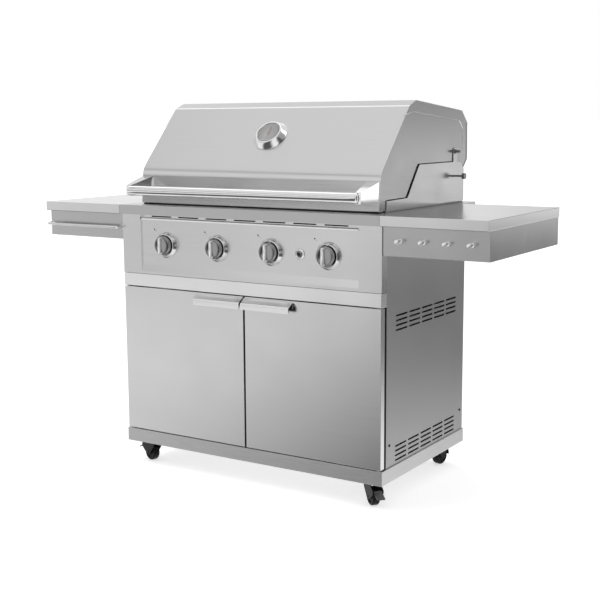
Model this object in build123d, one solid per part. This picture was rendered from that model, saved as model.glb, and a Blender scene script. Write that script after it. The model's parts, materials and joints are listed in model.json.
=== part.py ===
from build123d import *

import os
from math import atan2, cos, degrees, hypot, radians, sin

# A cabinet gas barbecue: a sheet-steel cart on casters, with two doors and two side shelves, carries
# a four-burner grill head under a hinged hood. Millimetres, +Z up, +X to the right of the cook,
# +Y from the cook to the back. The origin is on the floor, under the middle of the whole.
# Pieces are drawn from the plane of the doors (y = 0); save() moves them to the origin.

# ---- whole grill ----
cabinet_width = 1000.0
cabinet_depth = 590.0
deck_height = 906.0  # floor to the top of the side shelves
sheet = 2.0  # shelves, hood and fire box
thin_sheet = 1.6  # doors, control panel and rail
reveal = 3.0  # visible gap round the doors
door_gap = 6.0  # between the two doors
body_gap = 0.3  # between a moving piece and what it rests on
running_clearance = 0.05  # radial, of every shaft in its bore

# ---- cart ----
caster_height = 80.0
plinth_height = 46.0
plinth_overhang = 4.0
plinth_sheet = 2.5
frame_setback = 33.0  # from the plane of the doors to the front edge of the side panels
front_flange = 25.0
rear_flange = 15.0
trim_height = 31.0
trim_overhang = 15.0
panel_height = 201.0
rail_height = 43.0
rail_gap = 1.0

# ---- doors ----
door_thickness = 24.0
door_flange = 14.0
pin_radius = 4.0
pin_inset = 12.0  # from the door's outer edge and from its face
pin_length = 14.0
washer_radius = 8.0
pull_length = 184.0
pull_reach = 24.0
pull_rise = 17.0
pull_lip = 17.0
pull_taper = 2.0  # the lip is this much shorter than the root, at its outer end

# ---- side panel louvres ----
vent_length = 0.129 * cabinet_depth
vent_height = 6.0
vent_columns = 5
vent_rows = 4
vent_pitch_y = 0.15 * cabinet_depth
vent_pitch_z = 15.0
vent_centre_y = cabinet_depth / 2 + 13
vent_low_z = caster_height + plinth_height + 13
vent_high_z = deck_height - 357

# ---- side shelves ----
shelf_width = 342.0
shelf_back = cabinet_depth - 38
skirt_drop = 119.0
skirt_setback = 20.0
skirt_flange = 12.0
towel_bar_radius = 5.0
towel_bar_reach = 26.0
towel_bar_inset = 9.0
towel_bar_height = deck_height - 77
hook_count = 4
hook_pitch = shelf_width / 4.5
hook_height = deck_height - 73
hook_reach = 24.0

# ---- control panel ----
knob_count = 4
knob_pitch = 0.21 * cabinet_width
knob_height = deck_height - 130
knob_radius = 31.0
knob_depth = 19.0
knob_back = -4.0  # y of the knob's back, clear of the panel when it is pushed in
grip_width = 13.0
grip_depth = 13.0
knob_travel = 3.0
bezel_radius = 44.0
bezel_depth = 14.0
bezel_clearance = 2.4
stem_radius = 4.0
valve_hole = 8.0
recess_half = cabinet_width / 2 - 78
recess_depth = 5.0
ledge_z = deck_height - trim_height - 18
ledge_rise = 6.0
vent_band_depth = 10.0
panel_slot_count = 7
panel_slot_pitch = 0.113 * cabinet_width
panel_slot_length = 0.084 * cabinet_width
panel_slot_height = 4.0
igniter_x = 0.212 * cabinet_width
igniter_radius = 9.0
igniter_ring_radius = 17.0

# ---- gas train ----
valve_size = 26.0
manifold_radius = 11.0
manifold_y = 39.0
manifold_z = knob_height - 35
manifold_half = (knob_count - 1) / 2 * knob_pitch + 33
inlet_x = manifold_half + 48
inlet_radius = 7.95  # outside of a 5/8 inch flare thread
inlet_drop = 46.0
inlet_thread = 14.0
burner_radius = 13.0
burner_wall = 1.5

# ---- fire box ----
box_half = cabinet_width / 2 - 64
box_front = 86.0
box_back = cabinet_depth - 21
box_floor = deck_height - 206
box_rim = 12.0
grate_ledge_z = deck_height - 38
tamer_ledge_z = deck_height - 106
grate_count = 4
grate_gap = 3.0
grate_height = 16.0
grate_bars = 13
bar_width = 7.0
tamer_width = 120.0
tamer_rise = 38.0
rack_front = box_back - 199
rack_back = rack_front + 100
rack_height = deck_height + 94
rack_half = box_half - 31
rack_rod = 3.0
tray_half = box_half - 46
tray_depth = 35.0
tray_front = box_front + 9
tray_back = cabinet_depth - 6

# ---- hood ----
hood_half = cabinet_width / 2 - 41
cheek_half = hood_half + 3
hood_lift = 3.5  # dark line between the deck and the hood
hood_front = 56.0
hood_back = cabinet_depth + 100
hood_bend = (64.7, 117.0)  # (y, height over the deck) of the front bend
hood_shoulder = (251.0, 320.0)
hood_crown = (296.0, 338.0)
hood_top_back = (hood_back - 48, 308.0)
hood_chamfer = 45.0
hood_rear_low = 144.0
cheek_back = hood_back - 33
pivot_y = hood_back - 105
pivot_rise = 172.0
pivot_radius = 4.5
seam_low = 36.0
seam_high = 138.0
end_thickness = 4.0
end_relief = 2.5
liner_gap = 22.0
handle_radius = 16.0
handle_wall = 2.0
handle_standoff = 88.0
handle_rise = 50.0
handle_half = hood_half - 19
bracket_width = 45.0
bracket_tip = 18.0
bracket_height = 68.0
gauge_radius = 59.0
gauge_face = 42.0
gauge_height = 22.0
gauge_offset = 0.54  # share of the slope, from its lower bend to the middle of the gauge

# ---- casters ----
caster_inset_x = 66.0
caster_inset_y = 60.0
wheel_radius = 30.0
wheel_width = 24.0
caster_trail = 18.0
fork_gap = 2.5
fork_plate = 4.0
axle_radius = 4.0
kingpin_radius = 6.0
caster_turn = {"front_left": 163.0, "front_right": -38.0, "rear_left": 150.0, "rear_right": 80.0}

# ---- what follows from them ----
half = cabinet_width / 2
plinth_top = caster_height + plinth_height
panel_top = deck_height - trim_height
panel_bottom = panel_top - panel_height
rail_top = panel_bottom - rail_gap
rail_bottom = rail_top - rail_height
door_bottom = plinth_top + reveal
door_top = rail_bottom - reveal
frame_back = cheek_back + 15.0
knob_xs = [(i - (knob_count - 1) / 2) * knob_pitch for i in range(knob_count)]
handle_y = hood_front - handle_standoff
handle_z = deck_height + handle_rise
pivot_z = deck_height + pivot_rise
shelf_end = half + shelf_width
front_y = -(hood_back + handle_y - handle_radius) / 2  # centres the overall depth on the origin


def save(node, *shapes):
    """Writes one node, its solids moved from the plane of the doors to the origin."""
    solids = [Pos(0, front_y, 0) * solid for shape in shapes for solid in shape.solids()]
    export_step(Compound(children=solids), f"parts/{node}.step")


def block(x, y, z):
    """A box between three (low, high) pairs."""
    size = [high - low for low, high in (x, y, z)]
    centre = [(high + low) / 2 for low, high in (x, y, z)]
    return Pos(*centre) * Box(*size)


def mirrored(shape):
    """The same piece on the other side of the grill."""
    return mirror(shape, about=Plane.YZ)


def prism_x(points, x0, x1):
    """A (y, z) outline carried from x0 to x1."""
    face = Plane.YZ.offset(x0) * make_face(Polyline(*points, close=True))
    return extrude(face, x1 - x0, dir=(1, 0, 0))


def prism_z(points, z0, z1):
    """An (x, y) outline carried from z0 to z1."""
    face = Plane.XY.offset(z0) * make_face(Polyline(*points, close=True))
    return extrude(face, z1 - z0, dir=(0, 0, 1))


def rod(start, end, radius, end_radius=None):
    """A round bar, or a cone, between two points."""
    axis = Vector(*end) - Vector(*start)
    middle = Plane(origin=Vector(*start) + axis / 2, z_dir=axis)
    if end_radius is None:
        return middle * Cylinder(radius, axis.length)
    return middle * Cone(radius, end_radius, axis.length)


def shifted_path(points, distance):
    """The open path moved to its left by distance, with mitred corners."""
    normals = []
    for (y0, z0), (y1, z1) in zip(points, points[1:]):
        length = hypot(y1 - y0, z1 - z0)
        normals.append((-(z1 - z0) / length, (y1 - y0) / length))
    moved = []
    for i, (y, z) in enumerate(points):
        a = normals[max(i - 1, 0)]
        b = normals[min(i, len(normals) - 1)]
        scale = distance / (1 + a[0] * b[0] + a[1] * b[1])
        moved.append((y + (a[0] + b[0]) * scale, z + (a[1] + b[1]) * scale))
    return moved


def folded_sheet(points, thickness, x0, x1):
    """Sheet metal bent along a (y, z) path, its thickness to the left of the path."""
    return prism_x(points + shifted_path(points, thickness)[::-1], x0, x1)


def rounded_section(points, radii, depth):
    """The section of a sheet along a clockwise path, rounded at its corners, depth thick inwards."""
    outer = FilletPolyline(*points, radius=radii)
    inner = FilletPolyline(*shifted_path(points, -depth), radius=[max(r - depth, 0.5) for r in radii])
    ends = Line(outer @ 0, inner @ 0), Line(outer @ 1, inner @ 1)
    return make_face([*outer.edges(), *inner.edges(), *[end.edge() for end in ends]])


def fused(shapes):
    """One solid from many that touch."""
    first, *others = shapes
    return first.fuse(*others) if others else first


# ---- cart: plinth, side panels, back, rail ----
def base_plinth():
    """A deep tray, upside down, with a turned-in flange and a plate for each caster."""
    x, y, z = half + plinth_overhang, cabinet_depth + plinth_overhang, plinth_sheet
    tray = block((-x, x), (0, y), (caster_height, plinth_top))
    tray -= block((-x + z, x - z), (z, y - z), (caster_height + z, plinth_top - z))
    lip = rear_flange
    tray -= block((-x + lip, x - lip), (lip, y - lip), (caster_height - 1, caster_height + z + 1))
    corner = caster_inset_x + plinth_overhang + 45
    for side in (-1, 1):
        for low, high in ((z, corner), (y - corner, y - z)):
            across = sorted((side * (x - corner), side * (x - z)))
            tray += block(across, (low, high), (caster_height, caster_height + z))
    return tray


def vent_slots(x):
    """Two groups of louvre slots through a side panel at x."""
    row = []
    flat = vent_length - vent_height
    for low in (vent_low_z, vent_high_z):
        for i in range(vent_columns):
            y = vent_centre_y + (i - (vent_columns - 1) / 2) * vent_pitch_y
            for j in range(vent_rows):
                z = low + j * vent_pitch_z
                face = Plane.YZ.offset(x) * Pos(y, z) * SlotCenterToCenter(flat, vent_height)
                row.append(extrude(face, sheet * 2, both=True))
    return row


def side_panel():
    """The right-hand side panel, flanged inwards at the front and the back."""
    z = (plinth_top, panel_top)
    panel = block((half - sheet, half), (frame_setback, cabinet_depth), z)
    panel += block((half - front_flange, half), (frame_setback, frame_setback + sheet), z)
    panel += block((half - rear_flange, half), (cabinet_depth - sheet, cabinet_depth), z)
    return panel - vent_slots(half)


def back_panel():
    """The rear skin, with a window for the grease tray and two rows of vents above it."""
    x, y = half - sheet, cabinet_depth - sheet
    skin = block((-x, x), (y - sheet, y), (plinth_top, panel_top))
    window_half = tray_half + 12
    skin -= block((-window_half, window_half), (y - 2 * sheet, y + 1), (box_floor - 60, box_floor - 4))
    for i in range(9):
        for z in (box_floor + 60, box_floor + 90):
            slot = Plane.XZ.offset(-y) * Pos((i - 4) * 95, z) * SlotCenterToCenter(60, 8)
            skin -= extrude(slot, 2 * sheet, both=True)
    return skin


def header_rail():
    """The folded rail over the doors."""
    rail = block((-half, half), (0, frame_setback), (rail_bottom, rail_top))
    t = thin_sheet
    rail -= block((-half + t, half - t), (t, frame_setback + 1), (rail_bottom + t, rail_top - t))
    return rail


def top_frame():
    """The deck round the grill head, with a skirt that shows as the front trim."""
    z = (panel_top, deck_height)
    frame = block((-half, half), (-trim_overhang, frame_back), z)
    inside = (-trim_overhang + sheet, frame_back - sheet)
    frame -= block((-half + sheet, half - sheet), inside, (panel_top - 1, deck_height - sheet - 1))
    frame += block((-half, half), (-trim_overhang, 0), (panel_top, panel_top + sheet))
    opening, fore_and_aft = box_half + sheet, (box_front - sheet, box_back + sheet)
    return frame - block((-opening, opening), fore_and_aft, (panel_top, deck_height + 1))


# ---- doors ----
door_pin_x = half - 1 - pin_inset


def door():
    """The right-hand door: a pan with turned-in edges and a pivot block at each hinge corner."""
    x = (door_gap / 2, half - 1)
    z = (door_bottom, door_top)
    t = thin_sheet
    pan = block(x, (0, door_thickness), z)
    pan -= block((x[0] + t, x[1] - t), (t, door_thickness - t), (z[0] + t, z[1] - t))
    f = door_flange
    pan -= block((x[0] + f, x[1] - f), (door_thickness - 2 * t, door_thickness + 1), (z[0] + f, z[1] - f))
    reach = pin_inset - t
    for low, high in ((z[0], z[0] + pin_length + 4), (z[1] - pin_length - 4, z[1])):
        pan += block((door_pin_x - reach, x[1]), (t / 2, pin_inset + reach), (low, high))
    foot, head = (door_pin_x, pin_inset, z[0] - 1), (door_pin_x, pin_inset, z[1] + 1)
    return pan - rod(foot, head, pin_radius + running_clearance)


def door_pull():
    """The right-hand pull: a hood of folded sheet along the door's top inner corner."""
    top = door_top - 4
    edge = top - pull_rise
    path = [(0, edge - 4), (0, top), (-pull_reach, edge), (-pull_reach, edge - pull_lip)]
    start, end = reveal, reveal + pull_length
    plan = [(start, 0), (end, 0), (end - pull_taper, -pull_reach), (start, -pull_reach)]
    return folded_sheet(path, sheet, start, end) & prism_z(plan, door_bottom, door_top)


def hinge_pins():
    """Four pins with washers that the doors turn on, two in the plinth and two in the rail."""
    pins = []
    for x in (-door_pin_x, door_pin_x):
        for base, way in ((plinth_top, 1), (rail_bottom, -1)):
            foot = (x, pin_inset, base)
            washer = rod(foot, (x, pin_inset, base + way * (reveal - body_gap)), washer_radius)
            pins.append(washer + rod(foot, (x, pin_inset, base + way * (reveal + pin_length)), pin_radius))
    return pins


# ---- side shelves ----
def shelf_top():
    """The right-hand shelf: a flat top with lips folded down in front, at its end and behind."""
    top = block((half, shelf_end), (-trim_overhang, shelf_back), (panel_top, deck_height))
    inside = (-trim_overhang + sheet, shelf_back - sheet)
    return top - block((half - 1, shelf_end - sheet), inside, (panel_top - 1, deck_height - sheet))


def shelf_skirt():
    """The right-hand box of sheet under the shelf, open below inside its turned-in flange."""
    x = (half, shelf_end - sheet)
    y = (skirt_setback - trim_overhang, shelf_back - sheet)
    z = (deck_height - skirt_drop, deck_height - sheet)
    skirt = block(x, y, z)
    skirt -= block((x[0] + sheet, x[1] - sheet), (y[0] + sheet, y[1] - sheet), (z[0] + sheet, z[1] + 1))
    f = skirt_flange
    return skirt - block((x[0] + f, x[1] - f), (y[0] + f, y[1] - f), (z[0] - 1, z[0] + sheet + 1))


def towel_bar():
    """A round bar along the front of the left shelf, its ends bent back into the skirt."""
    wall = skirt_setback - trim_overhang
    outer, inner = -shelf_end + towel_bar_inset, -half - towel_bar_inset
    y = wall - towel_bar_reach
    path = FilletPolyline((outer, wall), (outer, y), (inner, y), (inner, wall), radius=14)
    path = Pos(0, 0, towel_bar_height) * path
    section = Plane(origin=path @ 0, z_dir=path % 0) * Circle(towel_bar_radius)
    bar = sweep(section, path=path)
    for x in (outer, inner):
        bar += rod((x, wall, towel_bar_height), (x, wall - 4, towel_bar_height), towel_bar_radius + 4)
    return bar


def tool_hooks():
    """Flared pegs along the front of the right shelf."""
    wall = skirt_setback - trim_overhang
    middle = half + shelf_width / 2
    hooks = []
    for i in range(hook_count):
        x = middle + (i - (hook_count - 1) / 2) * hook_pitch
        neck = rod((x, wall, hook_height), (x, wall - hook_reach + 6, hook_height), 4)
        flare = rod((x, wall - hook_reach + 10, hook_height), (x, wall - hook_reach, hook_height), 4, 8)
        foot = rod((x, wall, hook_height), (x, wall - 2, hook_height), 7)
        hooks.append(neck + flare + foot)
    return hooks


# ---- control panel, knobs and gas train ----
def panel_front(back):
    """Outline in front of the panel's recessed middle, moved back by back."""
    d, v = recess_depth + back, vent_band_depth + back
    ledge_top = ledge_z + ledge_rise
    low = panel_bottom + 10
    return [
        (-5, low), (back, low), (d, low + 24), (d, ledge_z),
        (v, ledge_top), (v, panel_top + 1), (-5, panel_top + 1),
    ]


def control_panel():
    """The folded front panel: a pressed middle, a ledge with vent slots over it, holes for the knobs."""
    t = thin_sheet
    panel = block((-half, half), (0, frame_setback), (panel_bottom, panel_top))
    panel -= prism_x(panel_front(0), -recess_half, recess_half)
    hollow = block((-half + t, half - t), (t, frame_setback + 1), (panel_bottom + t, panel_top + 1))
    hollow -= prism_x(panel_front(t), -recess_half - t, recess_half + t)
    panel -= hollow
    slot_z = (ledge_z + ledge_rise + panel_top) / 2
    for i in range(panel_slot_count):
        x = (i - (panel_slot_count - 1) / 2) * panel_slot_pitch
        slot = SlotCenterToCenter(panel_slot_length - panel_slot_height, panel_slot_height)
        panel -= extrude(Plane.XZ.offset(-vent_band_depth) * Pos(x, slot_z) * slot, 2 * t, both=True)
    for x in knob_xs:
        panel -= rod((x, -1, knob_height), (x, 12, knob_height), valve_hole)
    return panel - rod((igniter_x, -1, knob_height), (igniter_x, 12, knob_height), igniter_radius + 1)


def knob_bezels():
    """A wide polished cone round each knob, seated on the panel's pressed middle."""
    rings = []
    bore = knob_radius + bezel_clearance
    for x in knob_xs:
        base, face = (x, recess_depth, knob_height), (x, recess_depth - bezel_depth, knob_height)
        cone = rod(base, face, bezel_radius, bore + 3)
        cone -= rod((x, recess_depth - sheet, knob_height), (x, -bezel_depth, knob_height), bore)
        rings.append(cone - rod((x, recess_depth + 1, knob_height), (x, 0, knob_height), valve_hole))
    return rings


def knob(x):
    """A turned knob with an upright grip across its face and a bore for the valve stem."""
    back, face = knob_back, knob_back - knob_depth
    body = rod((x, back, knob_height), (x, face, knob_height), knob_radius, knob_radius - 1.5)
    grip = block((x - grip_width / 2, x + grip_width / 2), (face - grip_depth, face + 2),
                 (knob_height - knob_radius + 2, knob_height + knob_radius - 2))
    grip &= rod((x, 0, knob_height), (x, face - grip_depth, knob_height), knob_radius - 1.5)
    bore_end = (x, face + 1, knob_height)
    return body + grip - rod((x, back + 1, knob_height), bore_end, stem_radius + running_clearance)


def valve_stem(x):
    """The stem that the knob turns on, pushed in against the valve."""
    tip = knob_back - knob_depth + 1 + body_gap
    return rod((x, tip, knob_height), (x, manifold_y + 1, knob_height), stem_radius)


def gas_valves():
    """Four brass valves, each screwed to the back of the panel and standing on the manifold."""
    valves = []
    s = valve_size / 2
    for x in knob_xs:
        body = block((x - s, x + s), (manifold_y - s, manifold_y + s), (knob_height - s, knob_height + s))
        seat = (x, recess_depth + thin_sheet, knob_height)
        collar = rod(seat, (x, manifold_y - s, knob_height), valve_hole + 3)
        foot = rod((x, manifold_y, manifold_z + manifold_radius), (x, manifold_y, knob_height - s), 7)
        jet = rod((x, manifold_y + s, knob_height), (x, manifold_y + s + 9, knob_height), 5)
        bore_end = (x, manifold_y + knob_travel + 3, knob_height)
        stem_bore = rod((x, 0, knob_height), bore_end, stem_radius + running_clearance)
        valves.append(body + collar + foot + jet - stem_bore)
    return valves


def gas_manifold():
    """The gas rail under the valves, with its flare inlet turned down at the right-hand end."""
    r = manifold_radius
    rail = rod((-manifold_half, manifold_y, manifold_z), (inlet_x, manifold_y, manifold_z), r)
    flats = [(manifold_y - 8, manifold_z + r - 2), (manifold_y + 8, manifold_z + r - 2),
             (manifold_y + 8, manifold_z + r), (manifold_y - 8, manifold_z + r)]
    for x in knob_xs:
        rail += prism_x(flats, x - 10, x + 10)
    rail += Pos(inlet_x, manifold_y, manifold_z) * Sphere(r + 3)
    elbow, mouth = (inlet_x, manifold_y, manifold_z), manifold_z - inlet_drop
    rail += rod(elbow, (inlet_x, manifold_y, mouth + inlet_thread), r)
    rail += rod(elbow, (inlet_x, manifold_y, mouth), inlet_radius)
    return rail - rod(elbow, (inlet_x, manifold_y, mouth - 1), 4)


def igniter_part(back, front, radius, front_radius=None):
    """A round piece on the igniter's axis."""
    return rod((igniter_x, back, knob_height), (igniter_x, front, knob_height), radius, front_radius)


def igniter_bezel():
    ring = igniter_part(recess_depth, -1, igniter_ring_radius, igniter_ring_radius - 2)
    return ring - igniter_part(10, -2, igniter_radius + running_clearance)


def igniter_button():
    return igniter_part(14, -5, igniter_radius)


def spark_module():
    """The battery spark box behind the igniter button."""
    y = (20, 66)
    z = (manifold_z + manifold_radius + 3, knob_height + 18)
    body = block((igniter_x - 24, igniter_x + 24), y, z)
    bracket_y = (recess_depth + thin_sheet, y[0] + 3)
    return body + block((igniter_x - 30, igniter_x + 30), bracket_y, (knob_height + 12, z[1]))


def burners():
    """Four closed tubes over their jets, each held by the fire box's front and back walls."""
    tubes = []
    mouth = manifold_y + valve_size / 2 + 5
    for x in knob_xs:
        tube = rod((x, mouth, knob_height), (x, box_back - 24, knob_height), burner_radius)
        bore_end = (x, box_back - 26, knob_height)
        tube -= rod((x, mouth - 1, knob_height), bore_end, burner_radius - burner_wall)
        tubes.append(tube + rod((x, box_back - 24, knob_height), (x, box_back - sheet, knob_height), 6))
    return tubes


# ---- fire box and what lies in it ----
def fire_box():
    """An open steel box hung by its rim, with ledges for the grates and runners for the grease tray."""
    x, rim = box_half, box_rim
    box = block((-x, x), (box_front, box_back), (box_floor, deck_height))
    box += block((-x - rim, x + rim), (box_front - rim, box_back + rim), (deck_height, deck_height + sheet))
    inside_y, inside_z = (box_front + sheet, box_back - sheet), (box_floor + sheet, deck_height + sheet + 1)
    box -= block((-x + sheet, x - sheet), inside_y, inside_z)
    for z in (tamer_ledge_z, grate_ledge_z):
        for y in ((box_front + sheet / 2, box_front + 14), (box_back - 14, box_back - sheet / 2)):
            box += block((-x + sheet / 2, x - sheet / 2), y, (z - sheet, z))
    for knob_x in knob_xs:
        outside = (knob_x, box_front - 1, knob_height)
        box -= rod(outside, (knob_x, box_front + sheet + 1, knob_height), burner_radius + 1)
    box -= block((-30, 30), (box_front + 80, box_back - 80), (box_floor - 1, box_floor + sheet + 1))
    low = box_floor - tray_depth - 9
    for side in (-1, 1):
        wall = sorted((side * (tray_half + 2), side * (tray_half + 2 + sheet)))
        foot = sorted((side * (tray_half - 14), side * (tray_half + 2 + sheet)))
        box += block(wall, (tray_front, box_back), (low, box_floor + sheet / 2))
        box += block(foot, (tray_front, box_back), (low, low + sheet))
    return box


def grease_tray():
    """A shallow tray that slides out at the back on the fire box's runners."""
    low = box_floor - tray_depth - 9 + sheet + body_gap
    x, z = tray_half, (low, low + tray_depth)
    tray = block((-x, x), (tray_front, tray_back), z)
    inside = (tray_front + sheet, tray_back - sheet)
    tray -= block((-x + sheet, x - sheet), inside, (z[0] + sheet, z[1] + 1))
    return tray + block((-60, 60), (tray_back - 1, tray_back + 22), (z[1] - 8, z[1] - 8 + sheet))


def cooking_grates():
    """Four bar grates side by side, each one piece of bars over three cross bars."""
    inside = 2 * (box_half - sheet)
    pitch = inside / grate_count
    y = (box_front + sheet + 3, box_back - sheet - 3)
    z = (grate_ledge_z, grate_ledge_z + grate_height)
    grates = []
    for i in range(grate_count):
        x0 = -inside / 2 + i * pitch + grate_gap / 2
        x1 = x0 + pitch - grate_gap
        step = (x1 - x0 - bar_width) / (grate_bars - 1)
        lefts = [x0 + k * step for k in range(grate_bars)]
        bars = [block((left, left + bar_width), y, (z[0] + 5, z[1])) for left in lefts]
        fronts = (y[0] + 2, (y[0] + y[1]) / 2 - 4, y[1] - 10)
        cross = [block((x0, x1), (front, front + 8), (z[0], z[0] + 8)) for front in fronts]
        grates.append(fused(bars + cross))
    return grates


def flame_tamers():
    """A folded roof of sheet over each burner."""
    y = (box_front + sheet + 3, box_back - sheet - 3)
    w, t = tamer_width / 2, sheet
    roofs = []
    for x in knob_xs:
        low, high = tamer_ledge_z, tamer_ledge_z + tamer_rise
        under = [(x + w - 2 * t, low), (x, high - 1.6 * t), (x - w + 2 * t, low)]
        outline = [(x - w, low), (x, high), (x + w, low), *under]
        face = Plane.XZ.offset(-y[0]) * make_face(Polyline(*outline, close=True))
        roofs.append(extrude(face, y[1] - y[0], dir=(0, 1, 0)))
    return roofs


def warming_rack():
    """A rod rack on four legs that stand on the grates."""
    r, foot = rack_rod, grate_ledge_z + grate_height
    rails = (rack_front, rack_back)
    rods = [rod((-rack_half, y, rack_height), (rack_half, y, rack_height), r) for y in rails]
    for x in (-rack_half + 15, rack_half - 15):
        for y in rails:
            rods.append(rod((x, y, foot), (x, y, rack_height), r))
    count = 26
    for i in range(count):
        x = -rack_half + 5 + i * (2 * rack_half - 10) / (count - 1)
        rods.append(rod((x, rack_front, rack_height), (x, rack_back, rack_height), r - 1))
    return fused(rods)


# ---- hood: fixed base, lid, handle and gauge ----
def above_deck(point):
    return point[0], deck_height + point[1]


hood_base_z = deck_height + hood_lift
lid_path = [
    (hood_front + 24, hood_base_z),
    (hood_front, hood_base_z),
    above_deck(hood_bend),
    above_deck(hood_shoulder),
    above_deck(hood_crown),
    above_deck(hood_top_back),
    (hood_back - 3, deck_height + hood_top_back[1] - hood_chamfer * 0.93),
    (hood_back, deck_height + hood_rear_low),
    (hood_back - 30, deck_height + hood_rear_low - 29),
]
lid_radii = [3, 60, 18, 14, 10, 10, 8]
slope_angle = degrees(atan2(hood_shoulder[1] - hood_bend[1], hood_shoulder[0] - hood_bend[0]))
seam = [
    (hood_front + 44.6, hood_base_z), (hood_front + 44.6, deck_height + seam_low),
    (236, deck_height + seam_low + 1), (317, deck_height + seam_high),
    (pivot_y - 14, deck_height + seam_high), (pivot_y - 11, pivot_z + 12), (pivot_y + 13, pivot_z + 14),
    (pivot_y + 16, deck_height + seam_high), (pivot_y + 40, deck_height + seam_high),
    (cheek_back, deck_height + seam_high - 26), (cheek_back, hood_base_z),
]


def hood_base():
    """The fixed cheeks and low back wall that the lid closes over, on a riser round the fire box."""
    cheek_in = cheek_half - sheet
    riser_y = (seam[0][0], cheek_back)
    wall_top = deck_height + 60
    cheek = prism_x(seam, cheek_in, cheek_half)
    cheek += block((box_half + 14, cheek_half), riser_y, (hood_base_z, hood_base_z + sheet))
    cheek += block((box_half + 14, cheek_half - 4), riser_y, (deck_height, hood_base_z + sheet))
    bore = pivot_radius
    cheek -= rod((cheek_in - 1, pivot_y, pivot_z), (cheek_half + 1, pivot_y, pivot_z), bore)
    back = block((-cheek_half, cheek_half), (cheek_back - sheet, cheek_back), (hood_base_z, wall_top))
    foot = (cheek_back - 16, cheek_back - 4)
    back += block((-cheek_half + 4, cheek_half - 4), foot, (deck_height, hood_base_z + sheet))
    return cheek + mirrored(cheek) + back


def hood_bolts():
    """The two bolts that the lid turns on, and a thumb screw below each for a rotisserie bracket."""
    tip = hood_half - end_thickness - 9
    bolt = rod((tip, pivot_y, pivot_z), (cheek_half + 18, pivot_y, pivot_z), pivot_radius)
    bolt += rod((cheek_half, pivot_y, pivot_z), (cheek_half + 3, pivot_y, pivot_z), 8)
    stud_z = deck_height + 90
    stud = rod((cheek_half, pivot_y, stud_z), (cheek_half + 32, pivot_y, stud_z), 3.5)
    stud += rod((cheek_half + 28, pivot_y, stud_z), (cheek_half + 38, pivot_y, stud_z), 10)
    return [bolt, stud, mirrored(bolt), mirrored(stud)]


def lid_skin():
    """The lid's outer sheet, bent over the front, slope, crown and back."""
    section = Plane.YZ.offset(-hood_half) * rounded_section(lid_path, lid_radii, sheet)
    return extrude(section, 2 * hood_half, dir=(1, 0, 0)) - gauge_plane * Cylinder(6, 60)


def lid_end():
    """The right-hand end of the lid, its middle standing proud of a rim along the top and back."""
    radii = [max(r - sheet, 0.5) for r in lid_radii]
    rim = FilletPolyline(*shifted_path(lid_path, -sheet), radius=radii)
    tuck_high, tuck_low = deck_height + seam_high - 13, deck_height + seam_low - 12
    front = seam[0][0] - 0.6
    corners = [(pivot_y + 20, tuck_high), (312, tuck_high), (231, tuck_low), (front, tuck_low)]
    under = Polyline(rim @ 1, *corners, (front, hood_base_z + sheet), rim @ 0)
    outline = make_face([*rim.edges(), *under.edges()])
    inner = hood_half - end_thickness
    plate = extrude(Plane.YZ.offset(inner) * outline, end_thickness, dir=(1, 0, 0))
    top = deck_height + hood_top_back[1]
    proud = [
        (0, deck_height), (0, top - 18),
        (hood_shoulder[0] - 29, top - 18), (hood_shoulder[0] + 24, top - 7),
        (hood_top_back[0] - 24, top - 34), (hood_back - 44, top - 62),
        (hood_back - 43, pivot_z - 12), (pivot_y + 40, deck_height + seam_high),
        (pivot_y + 40, deck_height),
    ]
    face = hood_half - end_relief
    rim_cut = block((face, hood_half + 1), (0, hood_back + 9), (deck_height, top + 60))
    plate -= rim_cut - prism_x(proud, face - 1, hood_half + 2)
    plate += rod((inner - 8, pivot_y, pivot_z), (inner + 1, pivot_y, pivot_z), 11)
    inside, outside = (inner - 9, pivot_y, pivot_z), (hood_half + 1, pivot_y, pivot_z)
    return plate - rod(inside, outside, pivot_radius + running_clearance)


def lid_liner():
    """The inner sheets of the double-walled lid: a flat front one, and one over the slope and the back."""
    path = shifted_path(lid_path[1:-1], -liner_gap)
    path[0] = (path[0][0], hood_base_z + 10)
    radii = [4, *[max(r - liner_gap, 4) for r in lid_radii[2:-1]]]
    inside = hood_half - end_thickness
    section = Plane.YZ.offset(-inside) * rounded_section(path, radii, sheet)
    liner = extrude(section, 2 * inside, dir=(1, 0, 0)) - gauge_plane * Cylinder(7, 120)
    joint_y, joint_z = path[1]
    return liner - block((-half, half), (joint_y - 20, joint_y + 20), (joint_z - body_gap, joint_z))


def handle_tube():
    axis = (handle_y, handle_z)
    tube = rod((-handle_half, *axis), (handle_half, *axis), handle_radius)
    return tube - rod((-handle_half + 6, *axis), (handle_half - 6, *axis), handle_radius - handle_wall)


def handle_bracket():
    """The right-hand wedge between the lid's front and the handle, clasping the tube's end."""
    lean = (hood_bend[0] - hood_front) / (hood_bend[1] - hood_lift)
    low, high = handle_z - handle_radius - 6, handle_z - handle_radius - 6 + bracket_height
    tip_low, tip_high = handle_z - handle_radius - 1, handle_z + handle_radius + 1

    def section(y, outer, width, bottom, top):
        corners = [(outer - width, bottom), (outer, bottom), (outer, top), (outer - width, top)]
        return Plane.XZ.offset(-y) * make_face(Polyline(*corners, close=True))

    root = section(hood_front + 12, hood_half - 1, bracket_width, low, high)
    tip = section(handle_y - 4, handle_half + 9, bracket_tip, tip_low, tip_high)
    wedge = loft([root, tip], ruled=True)
    foot, head = hood_front - lean * 30, hood_front + lean * 170
    lid_front = [
        (foot, hood_base_z - 30), (foot + 60, hood_base_z - 30),
        (head + 60, hood_base_z + 170), (head, hood_base_z + 170),
    ]
    wedge -= prism_x(lid_front, 0, half)
    return wedge - rod((0, handle_y, handle_z), (handle_half, handle_y, handle_z), handle_radius)


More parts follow.
